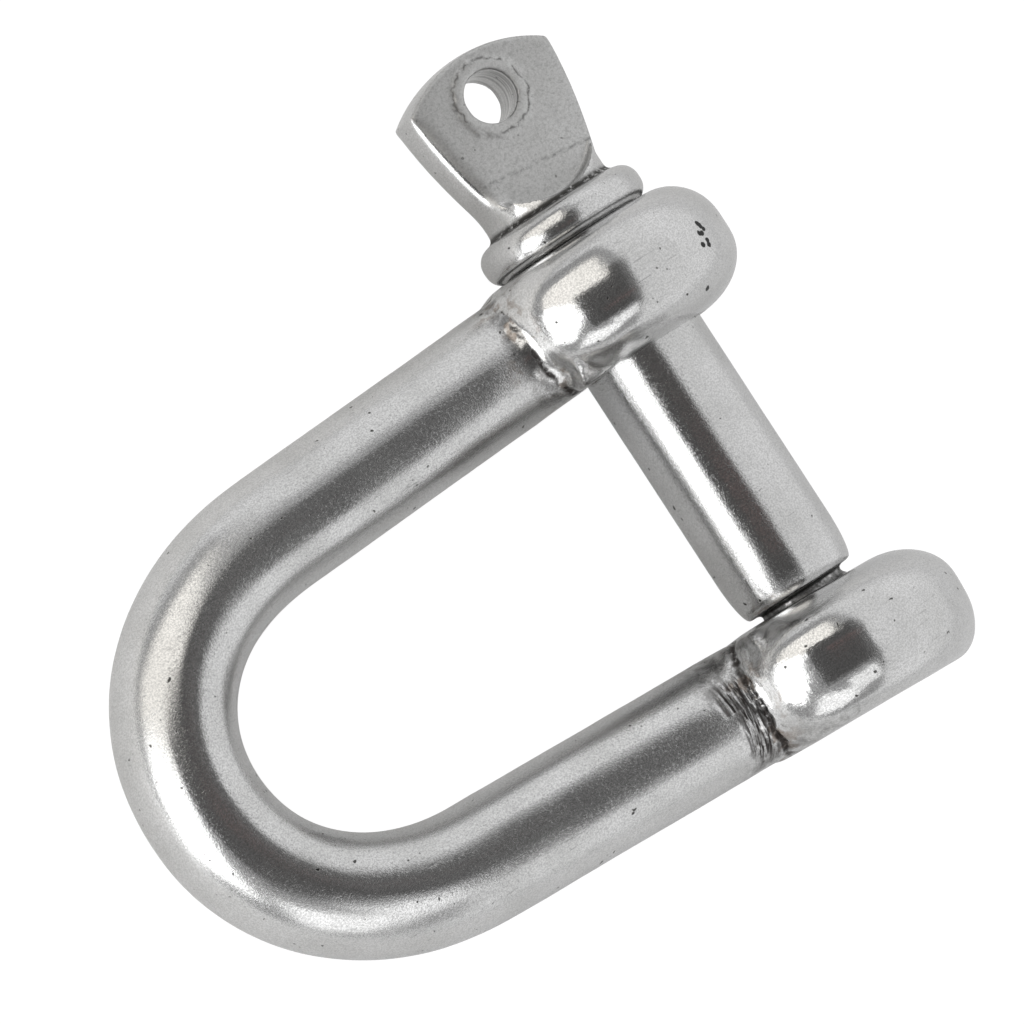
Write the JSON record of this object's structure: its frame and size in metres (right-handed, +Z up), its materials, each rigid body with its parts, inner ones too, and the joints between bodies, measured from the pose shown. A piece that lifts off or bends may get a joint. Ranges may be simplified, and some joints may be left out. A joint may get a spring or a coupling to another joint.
{
  "type": "d shackle",
  "caption": "Straight D shackle of polished stainless steel: a bent round bar with forged eyes, closed by a collared screw pin that ends in a flat drilled tab.",
  "frame": {"origin": "centre of the bounding box's bottom face, on the surface that the shackle lies on", "axes": "+X runs from the bow to the pin, +Y along the pin towards its tab, +Z up out of the side that the shackle lies on"},
  "size_m": [0.076, 0.0696, 0.025],
  "materials": {
    "body_steel": "polished over a forged surface, with scale left in the creases by the eyes",
    "pin_steel": "turned and tumbled, satin on the tab's flats"
  },
  "bodies": {
    "body": {"shackle_body": "body_steel"},
    "pin": {"screw_pin": "pin_steel"}
  },
  "joints": [
    {"name": "pin_withdraw", "type": "slide", "parent": "body", "child": "pin", "axis": [0, 1, 0], "range_m": [0, 0.052]}
  ]
}
